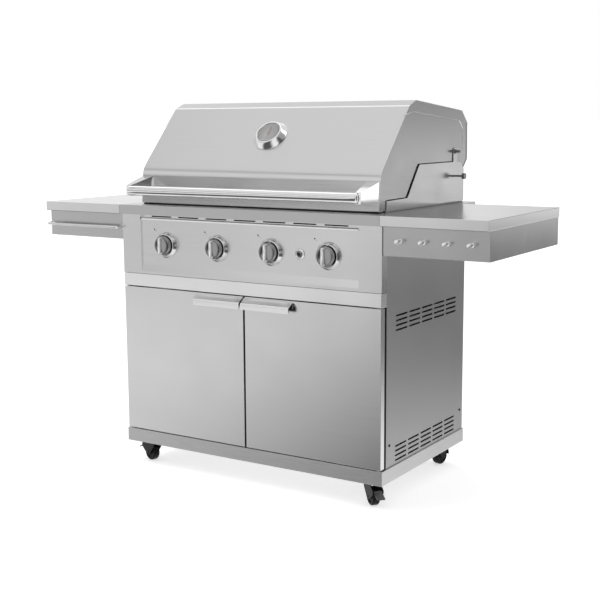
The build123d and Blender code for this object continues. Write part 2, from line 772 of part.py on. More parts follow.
slope_run = hood_shoulder[0] - hood_bend[0]
slope_climb = hood_shoulder[1] - hood_bend[1]
slope_normal = (0, -sin(radians(slope_angle)), cos(radians(slope_angle)))
gauge_y = hood_bend[0] + gauge_offset * slope_run
gauge_z = deck_height + hood_bend[1] + gauge_offset * slope_climb
gauge_plane = Plane(origin=(0, gauge_y, gauge_z), x_dir=(1, 0, 0), z_dir=slope_normal)


def gauge_disc(low, high, radius, top_radius=None):
    """A round piece of the gauge between two heights over the lid's slope."""
    if top_radius is None:
        return gauge_plane * Pos(0, 0, (low + high) / 2) * Cylinder(radius, high - low)
    return gauge_plane * Pos(0, 0, (low + high) / 2) * Cone(radius, top_radius, high - low)


def thermometer_bezel():
    """A polished cone with a seat for the dial and the lens."""
    cone = gauge_disc(0, gauge_height, gauge_radius, gauge_face)
    cone -= gauge_disc(gauge_height - 8, gauge_height + 1, gauge_face - 4)
    return cone - gauge_disc(-1, gauge_height, 6)


def thermometer_dial():
    """The dial plate on its bimetal probe, which reaches through both walls of the lid."""
    dial = gauge_disc(gauge_height - 8, gauge_height - 6.5, gauge_face - 4)
    dial += gauge_disc(-liner_gap - 40, gauge_height - 7, 4)
    return dial - gauge_disc(gauge_height - 14, gauge_height - 6, 1.5 + running_clearance)


def thermometer_lens():
    return gauge_disc(gauge_height - 2, gauge_height - 0.5, gauge_face - 4)


def thermometer_needle():
    """The pointer on its spindle, turning on the dial."""
    arm = [(-2.2, -9), (2.2, -9), (0.7, 30), (-0.7, 30)]
    level = gauge_height - 5.2
    face = gauge_plane.offset(level) * make_face(Polyline(*arm, close=True))
    pointer = extrude(face, 0.9, dir=slope_normal)
    pointer += gauge_disc(level, level + 1.8, 3.5)
    return pointer + gauge_disc(gauge_height - 13, level + 0.5, 1.5)


# ---- casters, drawn trailing along +X from their kingpin and then turned ----
wheel_half = wheel_width / 2
fork_in = wheel_half + fork_gap
fork_out = fork_in + fork_plate
fork_top = caster_height - 6.0
brake_u, brake_z = caster_trail + 33, wheel_radius + 20
brake_pin = 2.5
caster_places = {
    name: ((1 if "right" in name else -1) * (half - caster_inset_x),
           caster_inset_y if "front" in name else cabinet_depth - caster_inset_y)
    for name in caster_turn
}


def on_axle(reach, radius):
    """A round piece about the wheel's axis, reaching the same way to either side."""
    start, end = (caster_trail, -reach, wheel_radius), (caster_trail, reach, wheel_radius)
    return rod(start, end, radius)


def placed_caster(shape, name):
    x, y = caster_places[name]
    return Pos(x, y, 0) * Rot(0, 0, caster_turn[name]) * shape


def caster_plate():
    """The fixed top plate with its kingpin."""
    plate = block((-34, 34), (-30, 30), (caster_height - 4, caster_height))
    return plate + rod((0, 0, fork_top - 9), (0, 0, caster_height - 2), kingpin_radius)


def caster_fork(braked):
    """A black fork: a crown on the kingpin, two legs and the axle, and either brake ears or a fender."""
    crown = block((-18, caster_trail + 12), (-fork_out, fork_out), (fork_top - 6, fork_top))
    crown += rod((0, 0, fork_top - 6), (0, 0, caster_height - 4 - body_gap), 15)
    front = [(caster_trail + 14, fork_top), (caster_trail + 16, fork_top - 22)]
    if braked:
        front = [(caster_trail + 14, fork_top), (brake_u + 5, brake_z + 5), (brake_u + 5, brake_z - 5)]
    foot = [(caster_trail + 7, wheel_radius - 8), (caster_trail - 7, wheel_radius - 8)]
    outline = Polyline((-18, fork_top), *front, *foot, (-14, fork_top - 20), close=True)
    leg = extrude(Plane.XZ.offset(-fork_in) * make_face(outline), fork_plate, dir=(0, 1, 0))
    fork = crown + leg + mirror(leg, about=Plane.XZ)
    fork += on_axle(fork_out + 1, axle_radius)
    if braked:
        fork += rod((brake_u, -fork_in, brake_z), (brake_u, fork_in, brake_z), brake_pin)
    else:
        fender = on_axle(fork_in, wheel_radius + 6) - on_axle(fork_out, wheel_radius + 3)
        quarter = (caster_trail + 4, caster_trail + 60)
        fork += fender & block(quarter, (-fork_in, fork_in), (wheel_radius, fork_top - 3))
    bore = rod((0, 0, fork_top - 10), (0, 0, caster_height), kingpin_radius + running_clearance)
    return fork - bore


def caster_wheel():
    """A tyre with rounded shoulders and a bore that runs on the axle."""
    tyre = on_axle(wheel_half, wheel_radius)
    tyre = fillet(tyre.edges().filter_by(GeomType.CIRCLE), 4)
    return tyre - on_axle(wheel_half + 1, axle_radius + running_clearance)


def brake_pedal():
    """The lever that is trodden down to lock a front caster."""
    width = fork_in - 1
    barrel = rod((brake_u, -width, brake_z), (brake_u, width, brake_z), brake_pin + 2.5)
    tip = brake_u + 30
    outline = [(brake_u, brake_z - 1), (brake_u, brake_z + 3.5), (tip - 2, brake_z - 12), (tip, brake_z - 16)]
    plate = Plane.XZ.offset(width) * make_face(Polyline(*outline, close=True))
    pedal = barrel + extrude(plate, 2 * width, dir=(0, 1, 0))
    start, end = (brake_u, -width - 1, brake_z), (brake_u, width + 1, brake_z)
    return pedal - rod(start, end, brake_pin + running_clearance)


# ---- write every node ----
os.makedirs("parts", exist_ok=True)


def write_pair(name, shape):
    """A piece and its mirror image, as name_right and name_left."""
    save(name + "_right", shape)
    save(name + "_left", mirrored(shape))


save("base_plinth", base_plinth())
write_pair("side_panel", side_panel())
save("back_panel", back_panel())
save("header_rail", header_rail())
save("top_frame", top_frame())
write_pair("door", door())
write_pair("door_pull", door_pull())
save("hinge_pins", *hinge_pins())
write_pair("shelf_top", shelf_top())
skirt = shelf_skirt()
save("shelf_skirts", skirt, mirrored(skirt))
save("towel_bar", towel_bar())
save("tool_hooks", *tool_hooks())
save("control_panel", control_panel())
save("knob_bezels", *knob_bezels())
for number, knob_x in enumerate(knob_xs, 1):
    save(f"knob_{number}", knob(knob_x))
    save(f"valve_stem_{number}", valve_stem(knob_x))
save("gas_valves", *gas_valves())
save("gas_manifold", gas_manifold())
save("igniter_bezel", igniter_bezel())
save("igniter_button", igniter_button())
save("spark_module", spark_module())
save("burners", *burners())
save("fire_box", fire_box())
save("grease_tray", grease_tray())
save("cooking_grates", *cooking_grates())
save("flame_tamers", *flame_tamers())
save("warming_rack", warming_rack())
save("hood_base", hood_base())
save("hood_bolts", *hood_bolts())
save("lid_skin", lid_skin())
end = lid_end()
save("lid_ends", end, mirrored(end))
save("lid_liner", lid_liner())
save("handle_tube", handle_tube())
bracket = handle_bracket()
save("handle_brackets", bracket, mirrored(bracket))
save("thermometer_bezel", thermometer_bezel())
save("thermometer_dial", thermometer_dial())
save("thermometer_lens", thermometer_lens())
save("thermometer_needle", thermometer_needle())
save("caster_plates", *[placed_caster(caster_plate(), name) for name in caster_turn])
for name in caster_turn:
    braked = "front" in name
    save("caster_fork_" + name, placed_caster(caster_fork(braked), name))
    save("caster_wheel_" + name, placed_caster(caster_wheel(), name))
    if braked:
        save("brake_pedal_" + name, placed_caster(brake_pedal(), name))
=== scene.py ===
import json

import bpy
import numpy as np
from mathutils import Matrix, Vector


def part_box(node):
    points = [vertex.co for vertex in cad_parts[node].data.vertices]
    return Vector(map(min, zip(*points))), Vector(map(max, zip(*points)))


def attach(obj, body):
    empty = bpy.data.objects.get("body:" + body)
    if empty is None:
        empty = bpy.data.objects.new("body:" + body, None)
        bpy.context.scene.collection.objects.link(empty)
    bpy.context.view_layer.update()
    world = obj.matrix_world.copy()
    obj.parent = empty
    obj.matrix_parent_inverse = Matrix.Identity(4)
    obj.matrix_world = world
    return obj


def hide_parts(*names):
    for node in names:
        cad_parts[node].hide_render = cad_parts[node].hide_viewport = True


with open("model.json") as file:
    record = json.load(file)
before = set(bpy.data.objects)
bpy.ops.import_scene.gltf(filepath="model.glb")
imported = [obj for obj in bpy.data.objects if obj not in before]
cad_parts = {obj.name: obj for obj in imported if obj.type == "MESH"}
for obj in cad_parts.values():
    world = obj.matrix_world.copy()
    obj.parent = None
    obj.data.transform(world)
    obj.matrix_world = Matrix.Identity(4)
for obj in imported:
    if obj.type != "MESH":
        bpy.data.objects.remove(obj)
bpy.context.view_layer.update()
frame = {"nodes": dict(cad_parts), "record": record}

# Studio: white paper, lit from below until it is nearly as bright as the walls, under one large
# soft light over the left shoulder. Brushed steel shows what it reflects, so the dome round it
# has broad bright and dim areas, as white cards and dark flags give in a studio.


def linear(hex_colour):
    """An sRGB hex colour as linear red, green, blue and alpha."""
    channels = [int(hex_colour[i:i + 2], 16) / 255 for i in (1, 3, 5)]
    return [c / 12.92 if c < 0.04045 else ((c + 0.055) / 1.055) ** 2.4 for c in channels] + [1.0]


def add(tree, kind, links=(), **settings):
    """A node of that kind: settings go to its properties or its inputs, links are (input, socket)."""
    made = tree.nodes.new(kind)
    for name, value in settings.items():
        if hasattr(made, name):
            setattr(made, name, value)
        else:
            made.inputs[name.replace("_", " ")].default_value = value
    for name, source in links:
        tree.links.new(source, made.inputs[name])
    return made


def unit(vectors):
    """Vectors scaled to length one."""
    vectors = np.asarray(vectors, float)
    return vectors / np.linalg.norm(vectors, axis=-1, keepdims=True)


scene = bpy.context.scene
scene.view_settings.view_transform = "Standard"

azimuth, elevation, roll = np.radians((32.48, 8.94, -0.34))
camera_target, camera_distance = np.array((0.2136, -0.321, 0.6329)), 3.4887
away = np.array((
    np.sin(azimuth) * np.cos(elevation), -np.cos(azimuth) * np.cos(elevation), np.sin(elevation)))
level = np.array((np.cos(azimuth), np.sin(azimuth), 0.0))
upright = np.cross(away, level)
right = level * np.cos(roll) + upright * np.sin(roll)
up = upright * np.cos(roll) - level * np.sin(roll)
camera_data = bpy.data.cameras.new("camera")
camera_data.lens, camera_data.sensor_width = 67.525, 36.0
camera = bpy.data.objects.new("camera", camera_data)
camera.matrix_world = Matrix.Translation(Vector(camera_target + away * camera_distance)) @ Matrix(
    (Vector(right), Vector(up), Vector(away))).transposed().to_4x4()
scene.collection.objects.link(camera)
scene.camera = camera

paper = bpy.data.materials.new("backlit_paper")
paper.use_nodes = True
paper_shader = paper.node_tree.nodes["Principled BSDF"]
paper_shader.inputs["Base Color"].default_value = linear("#E0E0E0")
paper_shader.inputs["Roughness"].default_value = 0.9
paper_shader.inputs["Specular IOR Level"].default_value = 0.0
paper_shader.inputs["Emission Color"].default_value = (1, 1, 1, 1)
paper_shader.inputs["Emission Strength"].default_value = 0.56
sweep_mesh = bpy.data.meshes.new("paper_sweep")
sweep_mesh.from_pydata([(-400, -400, 0), (400, -400, 0), (400, 400, 0), (-400, 400, 0)], [], [(0, 1, 2, 3)])
sweep_mesh.materials.append(paper)
sweep = bpy.data.objects.new("paper_sweep", sweep_mesh)
sweep.visible_glossy = False
scene.collection.objects.link(sweep)

key_data = bpy.data.lights.new("key_light", "AREA")
key_data.shape, key_data.size, key_data.energy = "SQUARE", 2.6, 45
key = bpy.data.objects.new("key_light", key_data)
key.matrix_world = Matrix.Translation((-2.2, -1.6, 3.6)) @ Vector((2.2, 1.6, -3.0)).to_track_quat(
    "-Z", "Y").to_matrix().to_4x4()
key.visible_glossy = False
scene.collection.objects.link(key)

dome = bpy.data.worlds.new("studio_dome")
dome.use_nodes = True
scene.world = dome
sky = dome.node_tree
direction = add(sky, "ShaderNodeTexCoord").outputs["Generated"]


def towards(vector, low, high, dim, bright):
    """A soft step in how far a direction points along vector, from dim at low to bright at high."""
    along = add(sky, "ShaderNodeVectorMath", [(0, direction)], operation="DOT_PRODUCT")
    along.inputs[1].default_value = vector
    return add(
        sky, "ShaderNodeMapRange", [("Value", along.outputs["Value"])], interpolation_type="SMOOTHSTEP",
        From_Min=low, From_Max=high, To_Min=dim, To_Max=bright).outputs["Result"]


def blended(under, over, share):
    """Two brightnesses mixed by a third."""
    sockets = [("Factor", share)]
    sockets += [(n, v) for n, v in (("A", under), ("B", over)) if not isinstance(v, float)]
    made = add(sky, "ShaderNodeMix", sockets, data_type="FLOAT")
    for name, value in (("A", under), ("B", over)):
        if isinstance(value, float):
            made.inputs[name].default_value = value
    return made.outputs["Result"]


# The wall behind the right side: bright at hood height, dim below it, bright again at the floor.
far_low = towards((0, 0, -1), 0.20, 0.29, 0.12, 1.20)
far_high = towards((0, 0, -1), -0.02, 0.05, 0.34, 1.50)
far_wall = blended(far_high, far_low, towards((0, 0, -1), 0.068, 0.092, 0.0, 1.0))
light = blended(1.0, far_wall, towards((0.54, 0.84, 0), 0.45, 0.80, 0.0, 1.0))
# The wall before the doors fades to the right and downwards, and the ceiling towards the back.
near_wall = towards((-1, 0, 1.2), 0.02, 0.38, 0.10, 0.95)
light = blended(light, near_wall, towards((-0.54, -0.84, 0), 0.45, 0.75, 0.0, 1.0))
ceiling = towards((-0.45, -0.5, 0.4), -0.25, 0.60, 0.36, 0.86)
light = blended(light, ceiling, towards((0, 0, 1), 0.20, 0.45, 0.0, 1.0))
# A dark card stands just over the floor in front, and a narrow grey one hangs above it.
dark_card = blended(0.06, light, towards((0.35, 0, 1), -0.198, 0.034, 0.0, 1.0))
over_floor = blended(light, dark_card, towards((0, 0, 1), -0.01, 0.035, 0.0, 1.0))
light = blended(light, over_floor, towards((0, -1, 0), 0.10, 0.40, 0.0, 1.0))
narrow_card = blended(0.5, light, towards((0, -0.3, 1), 0.72, 0.79, 0.0, 1.0))
light = blended(light, narrow_card, towards((0, -0.3, 1), 0.63, 0.69, 0.0, 1.0))
# A card to the left dims the near end of the control panel, and one to the right edges round parts.
left_fade = towards((1, 0, 0), -0.66, -0.50, 0.25, 1.0)
left_card = blended(1.0, left_fade, towards((1, 0, 0), -0.71, -0.67, 0.0, 1.0))
left_dim = add(sky, "ShaderNodeMath", [(0, light), (1, left_card)], operation="MULTIPLY").outputs["Value"]
left_side = blended(left_dim, light, towards((0, 0, 1), -0.095, -0.075, 0.0, 1.0))
light = blended(light, left_side, towards((0, 0, 1), -0.150, -0.120, 0.0, 1.0))
side_card = blended(0.10, light, towards((0, 0, 1), 0.30, 0.45, 0.0, 1.0))
light = blended(light, side_card, towards((1, -0.1, 0), 0.78, 0.90, 0.0, 1.0))
# A lamp high at the back draws the white line along the handle.
overhead = towards((0, -1, 0), -0.52, -0.42, 0.80, 1.8)
overhead = blended(light, overhead, towards((0, 0, 1), 0.30, 0.45, 0.0, 1.0))
light = blended(light, overhead, towards((0, 1, 0), 0.14, 0.28, 0.0, 1.0))
light = blended(light, 1.0, add(sky, "ShaderNodeLightPath").outputs["Is Camera Ray"])
sky.links.new(light, sky.nodes["Background"].inputs["Strength"])
sky.nodes["Background"].inputs["Color"].default_value = (1, 1, 1, 1)

# Base plinth: a deep tray folded from 2.5 mm steel, turned upside down and powder coated silver
# grey. The coat is a little uneven, like fine orange peel, and softens what it reflects.

COARSE = 0.15  # metres that a brush line runs before it fades
HAIR = 0.0035  # width of a line; real ones are a tenth of that, too fine to show


def surface(name, colour, metallic, roughness, grain, depth, tint=0.05, uneven=0.04):
    """A finish whose noise, sized by grain in metres along x, y and z, shades colour by tint,
    roughness by uneven and height by depth, with broad soft stains in the roughness over it."""
    made = bpy.data.materials.new(name)
    made.use_nodes = True
    tree = made.node_tree
    shader = tree.nodes["Principled BSDF"]
    shader.inputs["Metallic"].default_value = metallic
    place = add(tree, "ShaderNodeTexCoord").outputs["Object"]
    sized = add(tree, "ShaderNodeMapping", [("Vector", place)], Scale=[1 / size for size in grain])
    fine = add(tree, "ShaderNodeTexNoise", [("Vector", sized.outputs["Vector"])], Scale=1.0, Detail=2.0)
    broad = add(tree, "ShaderNodeTexNoise", [("Vector", place)], Scale=7.0, Detail=2.0)
    both = add(tree, "ShaderNodeMath", [(0, fine.outputs["Fac"]), (1, broad.outputs["Fac"])], operation="ADD")
    shade = add(tree, "ShaderNodeValToRGB", [("Fac", fine.outputs["Fac"])])
    for stop, place_on_ramp, part in zip(shade.color_ramp.elements, (0.3, 0.7), (1 - tint, 1 + tint)):
        stop.position = place_on_ramp
        stop.color = [min(channel * part, 1.0) for channel in linear(colour)[:3]] + [1.0]
    rough = add(tree, "ShaderNodeMapRange", [("Value", both.outputs["Value"])], From_Min=0.6, From_Max=1.4,
                To_Min=max(roughness - uneven, 0.02), To_Max=roughness + uneven)
    bump = add(tree, "ShaderNodeBump", [("Height", fine.outputs["Fac"])], Strength=1.0, Distance=depth)
    tree.links.new(shade.outputs["Color"], shader.inputs["Base Color"])
    tree.links.new(rough.outputs["Result"], shader.inputs["Roughness"])
    tree.links.new(bump.outputs["Normal"], shader.inputs["Normal"])
    return made


def finished(material, *nodes):
    """The frame's own pieces, given a finish."""
    for node in nodes:
        mesh = frame["nodes"][node].data
        mesh.materials.clear()
        mesh.materials.append(material)


def eased(width, *nodes):
    """The frame's own pieces with their folds and edges rounded, which catches a thin line of light."""
    for node in nodes:
        piece = frame["nodes"][node]
        weld = piece.modifiers.new("weld", "WELD")
        weld.merge_threshold = 0.00002
        bevel = piece.modifiers.new("bevel", "BEVEL")
        bevel.width, bevel.segments, bevel.limit_method, bevel.angle_limit = width, 2, "ANGLE", np.radians(40)


silver_coat = surface("silver_powder_coat", "#CCCCCC", 0.92, 0.34, (0.06, 0.06, 0.003), 0.00001, tint=0.05)
finished(silver_coat, "base_plinth")
eased(0.0012, "base_plinth")

# Casters: a zinc plate and kingpin, a pressed fork coated black, a moulded rubber wheel and, on
# the two in front, a pressed brake pedal. The tyre's shoulders are round and its hub is sunk.


def skin(rings, looped=False):
    """Vertices and faces of a closed shape: point j of each ring joins point j of the next by quads.
    The end rings get a flat cap, or are joined to each other if looped. The shape is turned inside
    out where its volume, a sixth of the sum of a . (b x c) over its triangles, comes out negative."""
    rings = np.asarray(rings, float)
    count, size = rings.shape[:2]
    i, j = np.meshgrid(np.arange(count if looped else count - 1), np.arange(size), indexing="ij")
    below_i, beside_j = (i + 1) % count, (j + 1) % size
    corners = [i * size + j, i * size + beside_j, below_i * size + beside_j, below_i * size + j]
    quads = np.stack(corners, axis=-1)
    faces = quads.reshape(-1, 4).tolist()
    if not looped:
        faces += [np.arange(size)[::-1].tolist(), (np.arange(size) + (count - 1) * size).tolist()]
    points = rings.reshape(-1, 3)
    fans = np.array([(face[0], b, c) for face in faces for b, c in zip(face[1:], face[2:])])
    a, b, c = points[fans[:, 0]], points[fans[:, 1]], points[fans[:, 2]]
    if np.einsum("ij,ij->", a, np.cross(b, c)) < 0:
        faces = [face[::-1] for face in faces]
    return points, faces


def piece(name, shapes, material, body, slot, nodes=()):
    """One object from skins, smooth but for its sharp edges, riding on its body for its nodes."""
    points, faces = [], []
    for shape_points, shape_faces in shapes:
        start = sum(len(block) for block in points)
        points.append(shape_points)
        faces += [[start + k for k in face] for face in shape_faces]
    mesh = bpy.data.meshes.new(name)
    mesh.from_pydata(np.vstack(points).tolist(), [], faces)
    mesh.shade_smooth()
    mesh.set_sharp_from_angle(angle=np.radians(38))
    mesh.materials.append(material)
    made = bpy.data.objects.new(name, mesh)
    scene.collection.objects.link(made)
    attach(made, body)
    if nodes:
        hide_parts(*nodes)
    return made


def turned(profile, centre, axis, steps=56):
    """Rings of a turned shape: (r, h), in mm, becomes centre + h axis + r (u cos a + v sin a)."""
    profile, axis = np.asarray(profile, float) * 0.001, unit(axis)
    u = unit(np.cross(axis, (0.0, 0.0, 1.0) if abs(axis[2]) < 0.9 else (1.0, 0.0, 0.0)))
    angle = np.linspace(0, 2 * np.pi, steps, endpoint=False)
    around = np.outer(np.cos(angle), u) + np.outer(np.sin(angle), np.cross(axis, u))
    return np.asarray(centre, float) + profile[:, 1, None, None] * axis + profile[:, 0, None, None] * around


def middle(node):
    """The middle of a node's box."""
    return np.mean(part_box(node), axis=0)


rubber = surface("moulded_black_rubber", "#0B0B0B", 0.0, 0.5, (0.002, 0.002, 0.002), 0.00006, uneven=0.1)
black_coat = surface("black_enamel", "#0E0E0F", 0.0, 0.38, (0.004, 0.004, 0.004), 0.00003, uneven=0.08)
zinc = surface("zinc_plating", "#B8B9BC", 1.0, 0.34, (0.004, 0.004, 0.004), 0.00002, tint=0.08)
for dark_finish in (rubber, black_coat):
    dark_finish.node_tree.nodes["Principled BSDF"].inputs["Specular IOR Level"].default_value = 0.2
half_tyre = [
    (4.4, 0), (4.4, 12), (9, 12), (10.4, 11), (12, 8.6), (20, 8.6), (21.6, 10.6), (23, 11.8), (25.6, 12),
    (27.8, 11.2), (29.3, 9.6), (30, 7.4), (30, 3), (29.3, 2.4), (29.3, 0),
]
tyre = half_tyre + [(radius, -side) for radius, side in half_tyre[-2:0:-1]]
joints = frame["record"]["behaviour"]["joints"]
axle_of = {joint["name"]: joint["axis"] for joint in joints if "axis" in joint}
for corner in ("front_left", "front_right", "rear_left", "rear_right"):
    wheel = "caster_wheel_" + corner
    shape = skin(turned(tyre, middle(wheel), axle_of[corner + "_roll"]), looped=True)
    piece("rubber_wheel_" + corner, [shape], rubber, "wheel_" + corner, "caster_tyre", [wheel])
    finished(black_coat, "caster_fork_" + corner)
    eased(0.0009, "caster_fork_" + corner)
dull_zinc = surface("dull_zinc_plating", "#6E6E70", 1.0, 0.4, (0.004, 0.004, 0.004), 0.00002)
finished(dull_zinc, "brake_pedal_front_left", "brake_pedal_front_right")
eased(0.0007, "brake_pedal_front_left", "brake_pedal_front_right")
finished(zinc, "caster_plates")

# Cart walls: side panels with punched louvres, a plain back skin, a folded rail over the doors and
# the deck frame with its front trim. Stainless sheet, brushed along its length on a belt, so fine
# lines stretch each reflection across the grain. The side panels' sheet is painted a darker grey, as
# painted shade, and the rail's a lighter one, as painted light. The back is galvanised, whose zinc
# has crystals, and small black screws hold the side panels.

across, fore_and_aft, vertical = (COARSE, HAIR, HAIR), (HAIR, COARSE, HAIR), (HAIR, HAIR, COARSE)


def brushed(name, colour, grain, roughness=0.25):
    """Stainless sheet with its brush lines along one axis."""
    return surface(name, colour, 1.0, roughness, grain, 0.0000015, tint=0.015, uneven=0.03)


# The side panels' grey is set darker than the other stainless pieces: painted shade on the sides turned away
# from the light.
finished(brushed("brushed_side_sheet_painted_shade", "#ACACAC", vertical, 0.32), "side_panel_left", "side_panel_right")
# The rail's grey is set near white: painted light, brighter than the other stainless pieces.
finished(brushed("brushed_rail_sheet_painted_light", "#F2F2F2", across), "header_rail")
finished(brushed("brushed_deck_sheet", "#C4C4C4", across), "top_frame")
eased(0.0011, "header_rail")
screw_profile = [(1.6, -0.2), (4.2, 0), (4.2, 0.8), (3.4, 1.9), (1.8, 2.5)]
(_, panel_front, panel_low), (panel_side, panel_back, panel_high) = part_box("side_panel_right")
screw_ys = panel_front + 0.022, panel_back - 0.022
screw_places = [(y, z) for y in screw_ys for z in (panel_low + 0.07, panel_high - 0.07)]
screws = [skin(turned(screw_profile, (side * panel_side, y, z), (side, 0, 0), 24))
          for side in (-1, 1) for y, z in screw_places]
piece("panel_screws", screws, black_coat, "cart", "black_plastic")
galvanised = surface("galvanised_sheet", "#A9ABAD", 1.0, 0.42, (0.012, 0.012, 0.012), 0.00001, tint=0.14)
spangle_tree = galvanised.node_tree
spangle_place = add(spangle_tree, "ShaderNodeTexCoord").outputs["Object"]
spangle = add(spangle_tree, "ShaderNodeTexVoronoi", [("Vector", spangle_place)], Scale=110.0)
spangle_grey = add(spangle_tree, "ShaderNodeSeparateColor", [("Color", spangle.outputs["Color"])])
spangle_rough = add(spangle_tree, "ShaderNodeMapRange", [("Value", spangle_grey.outputs["Red"])],
                    To_Min=0.32, To_Max=0.5)
spangle_tree.links.new(
    spangle_rough.outputs["Result"], spangle_tree.nodes["Principled BSDF"].inputs["Roughness"])
finished(galvanised, "back_panel")

# Doors: shallow pans of brushed sheet on pins in the plinth and the rail. Each pull is a strip
# folded into a hood along the door's upper inner corner, polished, its lip cut back at the far end.


def rounded(corners, reach, steps=7):
    """An open path with its corners eased: from a, reach before a corner, to b, reach after it, it
    follows (1 - t)^2 a + 2 t (1 - t) corner + t^2 b."""
    corners = np.asarray(corners, float)
    corner = corners[1:-1]
    a = corner + reach * unit(corners[:-2] - corner)
    b = corner + reach * unit(corners[2:] - corner)
    t = np.linspace(0, 1, steps)[None, :, None]
    curve = (1 - t) ** 2 * a[:, None] + 2 * t * (1 - t) * corner[:, None] + t ** 2 * b[:, None]
    return np.vstack([corners[:1], curve.reshape(-1, corners.shape[1]), corners[-1:]])


def sheet_section(path, thickness):
    """Outline of a bent sheet: the path, and back along the path moved by thickness along its normal."""
    along = unit(np.gradient(path, axis=0))
    normal = np.stack([-along[:, 1], along[:, 0]], axis=1)
    return np.vstack([path, (path + thickness * normal)[::-1]])


finished(brushed("brushed_door_sheet", "#DEDEDE", across, 0.22), "door_left", "door_right")
eased(0.0014, "door_left", "door_right")
finished(zinc, "hinge_pins")
polished = surface("polished_stainless", "#E9E9E9", 1.0, 0.1, (0.02, 0.02, 0.02), 0.0000006,
                   tint=0.02, uneven=0.03)
pull_sheet = surface("satin_pull_sheet", "#F0F0F0", 1.0, 0.2, across, 0.000006, tint=0.02)
# Black paint for the shade that falls inside the pulls.
pull_shadow = surface("black_pull_painted_shade", "#141414", 0.0, 0.6, (0.002, 0.002, 0.002), 0.00003)
pull_reach, pull_taper = 0.024, 0.002
for side, name in ((1, "right"), (-1, "left")):
    low, high = np.array(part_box("door_pull_" + name))
    back, front, top, foot = high[1], low[1], high[2], low[2]
    inner, outer = sorted((low[0], high[0]), key=abs)
    fold = [(back - 0.0004, top - 0.021), (back - 0.0004, top), (front, top - 0.017), (front, foot)]

    def strip(path, thickness, start, end):
        """A folded section carried along x, each point of it ending sooner the further out it stands."""
        outline = sheet_section(rounded(path, 0.004), thickness)
        cut = pull_taper * np.clip((back - outline[:, 0]) / pull_reach, 0, 1)
        share = np.linspace(0, 1, 9)[:, None]
        x = side * (start + share * (end - cut - start)[None, :])
        yz = np.broadcast_to(outline, (9, *outline.shape))
        return skin(np.concatenate([x[..., None], yz], axis=-1))

    body = name + "_door"
    piece("folded_pull_" + name, [strip(fold, -0.002, abs(inner), abs(outer))], pull_sheet, body,
          "polished_chrome", ["door_pull_" + name])
    # Inside each pull a black sheet paints the shade that falls in the hood's hollow.
    shade_path = [(back - 0.0012, top - 0.022), (back - 0.0028, top - 0.0055), (front + 0.0032, top - 0.0195),
              (front + 0.0032, foot + 0.001)]
    piece("pull_painted_shade_" + name, [strip(shade_path, -0.0008, abs(inner) + 0.001, abs(outer) - 0.001)],
          pull_shadow, body, "black_plastic")

# Side shelves: a brushed top with lips folded down all round, over a deep open skirt that holds it
# off the cart. The left skirt carries a polished towel bar with round feet, the right one four
# turned pegs for tools.

finished(brushed("brushed_shelf_sheet", "#DEDEDE", fore_and_aft, 0.22), "shelf_top_left", "shelf_top_right")
finished(brushed("brushed_skirt_sheet", "#C2C2C2", across), "shelf_skirts")
eased(0.0013, "shelf_top_left", "shelf_top_right", "shelf_skirts")


def carried(path, radius, upwards=(0.0, 0.0, 1.0), steps=24):
    """Rings of a round bar along a flat path: each point plus r (side cos a + up sin a), up being
    square to the plane of the path and side square to both."""
    side = np.cross(unit(np.gradient(path, axis=0)), upwards)
    angle = np.linspace(0, 2 * np.pi, steps, endpoint=False)
    ring = np.cos(angle)[None, :, None] * side[:, None] + np.sin(angle)[None, :, None] * np.array(upwards)
    return path[:, None] + radius * ring


(bar_left, bar_front, bar_low), (bar_right, bar_back, bar_high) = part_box("towel_bar")
bar_radius, foot_radius = 0.005, 0.009
bar_x = bar_left + foot_radius, bar_right - foot_radius
bar_y, bar_z = bar_front + bar_radius, (bar_low + bar_high) / 2
bar_corners = [(bar_x[0], bar_back, bar_z), (bar_x[0], bar_y, bar_z),
               (bar_x[1], bar_y, bar_z), (bar_x[1], bar_back, bar_z)]
bar_path = rounded(bar_corners, 0.012, steps=9)
foot_profile = [(6, -0.1), (9, 0), (9, 1.6), (8.2, 3), (6.4, 3.8), (6, 6), (5.3, 8)]
feet = [skin(turned(foot_profile, (x, bar_back, bar_z), (0, -1, 0), 32)) for x in bar_x]
piece("towel_bar_with_feet", [skin(carried(bar_path, bar_radius)), *feet], polished, "cart",
      "polished_chrome", ["towel_bar"])

(hooks_left, hooks_front, hooks_low), (hooks_right, hooks_back, hooks_high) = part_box("tool_hooks")
peg_profile = [
    (3, 0), (7, 0), (7, 1.4), (6, 2.4), (4.4, 3), (4, 5), (4, 13),
    (4.6, 16), (6.4, 19.4), (7.8, 21.6), (8, 22.8), (7.2, 23.7), (4, 24),
]
peg_xs = np.linspace(hooks_left + 0.008, hooks_right - 0.008, 4)
pegs = [skin(turned(peg_profile, (x, hooks_back, (hooks_low + hooks_high) / 2), (0, -1, 0), 32))
        for x in peg_xs]
piece("turned_pegs", pegs, polished, "cart", "polished_chrome", ["tool_hooks"])

# Control panel: brushed sheet with a pressed middle, a row of vent slots and a folded lip on its
# ledge. Each burner has a wide polished cone round a satin chromed knob with a polished upright
# grip, and two printed dots beside it.

